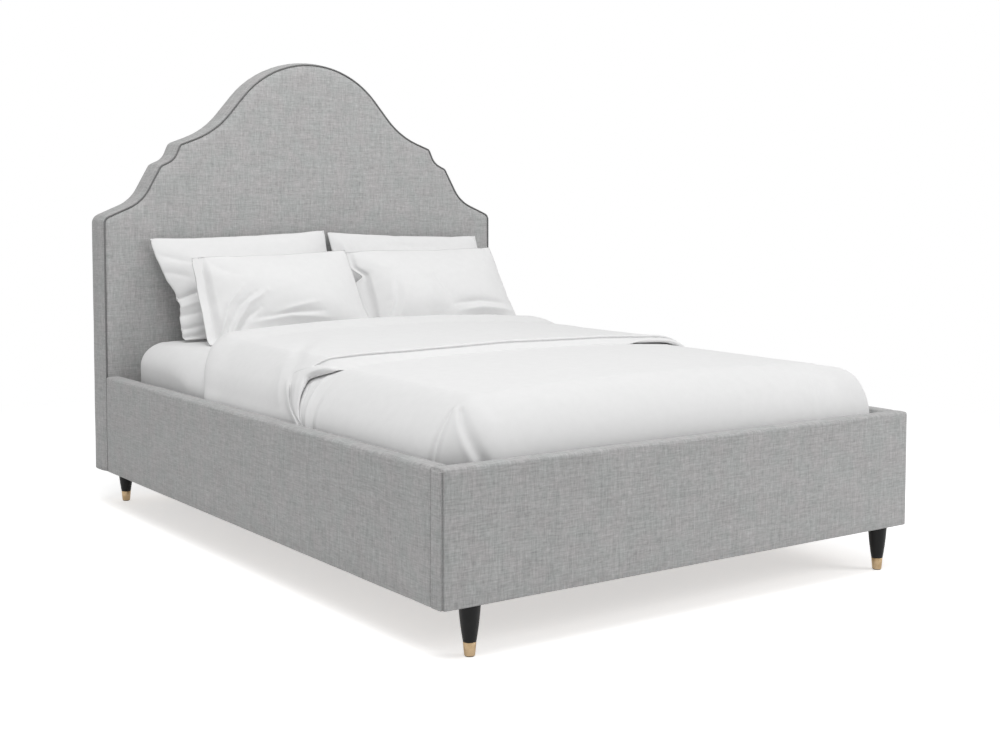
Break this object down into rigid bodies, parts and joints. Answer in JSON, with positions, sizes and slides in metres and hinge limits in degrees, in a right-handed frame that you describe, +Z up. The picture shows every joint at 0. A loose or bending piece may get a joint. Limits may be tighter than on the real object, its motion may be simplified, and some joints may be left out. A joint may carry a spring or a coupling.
{
  "type": "upholstered bed",
  "caption": "Upholstered bed with a crown-shaped piped headboard, padded box rails on tapered brass-tipped legs, a slatted base, and a mattress with duvet and pillows.",
  "frame": {"origin": "on the floor under the middle of the bed", "axes": "+Z up, +Y from the foot to the head, +X to the right seen from the foot"},
  "size_m": [1.56, 2.195, 1.522],
  "materials": {
    "linen": "light grey slub linen weave, matt",
    "piping_cloth": "dark grey woven piping",
    "lining_cloth": "plain grey lining cloth",
    "foam": "upholstery foam",
    "mattress": "quilted white ticking",
    "cotton": "white cotton, soft",
    "plywood": "sawn birch plywood",
    "timber": "planed pine",
    "beech": "bent laminated beech, clear lacquer",
    "black_lacquer": "black satin lacquer on turned beech",
    "brass": "polished brass",
    "powder_steel": "black powder coat",
    "zinc_steel": "zinc-plated steel",
    "nylon": "moulded black nylon",
    "felt": "dark felt"
  },
  "bodies": {
    "frame": {"headboard_front_panel": "linen", "headboard_foam": "foam", "headboard_boxing": "linen", "headboard_piping": "piping_cloth", "headboard_back_lining": "lining_cloth", "headboard_front_board": "plywood", "headboard_back_board": "plywood", "headboard_lower_rail": "timber", "headboard_upper_rail": "timber", "footboard_cover": "linen", "footboard_board": "plywood", "glides": "felt", "leg_plates": "zinc_steel", "hanger_bolts": "zinc_steel", "corner_brackets": "zinc_steel", "bracket_bolts": "zinc_steel", "ledge_screws": "zinc_steel", "base_tube_foot": "powder_steel", "base_tube_head": "powder_steel", "base_tube_centre": "powder_steel", "centre_props": "powder_steel", "centre_prop_pads": "nylon", "headboard_upright_left": "timber", "side_rail_left_cover": "linen", "side_rail_left_board": "plywood", "ledge_left": "timber", "base_tube_left": "powder_steel", "slats_left": "beech", "slat_caps_left": "nylon", "headboard_upright_right": "timber", "side_rail_right_cover": "linen", "side_rail_right_board": "plywood", "ledge_right": "timber", "base_tube_right": "powder_steel", "slats_right": "beech", "slat_caps_right": "nylon", "leg_front_left": "black_lacquer", "ferrule_front_left": "brass", "leg_front_right": "black_lacquer", "ferrule_front_right": "brass", "leg_rear_left": "black_lacquer", "ferrule_rear_left": "brass", "leg_rear_right": "black_lacquer", "ferrule_rear_right": "brass"},
    "mattress": {"mattress_core": "mattress", "fitted_sheet": "cotton"},
    "duvet": {"duvet": "cotton"},
    "large_pillow_left": {"large_pillow_left": "cotton"},
    "small_pillow_left": {"small_pillow_left": "cotton"},
    "large_pillow_right": {"large_pillow_right": "cotton"},
    "small_pillow_right": {"small_pillow_right": "cotton"}
  },
  "joints": [
    {"name": "mattress_lift", "type": "slide", "parent": "frame", "child": "mattress", "axis": [0, 0, 1], "range_m": [0, 0.25]},
    {"name": "duvet_lift", "type": "slide", "parent": "mattress", "child": "duvet", "axis": [0, 0, 1], "range_m": [0, 0.3]},
    {"name": "large_pillow_left_lift", "type": "slide", "parent": "mattress", "child": "large_pillow_left", "axis": [0, 0, 1], "range_m": [0, 0.3]},
    {"name": "small_pillow_left_lift", "type": "slide", "parent": "large_pillow_left", "child": "small_pillow_left", "axis": [0, 0, 1], "range_m": [0, 0.3]},
    {"name": "large_pillow_right_lift", "type": "slide", "parent": "mattress", "child": "large_pillow_right", "axis": [0, 0, 1], "range_m": [0, 0.3]},
    {"name": "small_pillow_right_lift", "type": "slide", "parent": "large_pillow_right", "child": "small_pillow_right", "axis": [0, 0, 1], "range_m": [0, 0.3]}
  ]
}
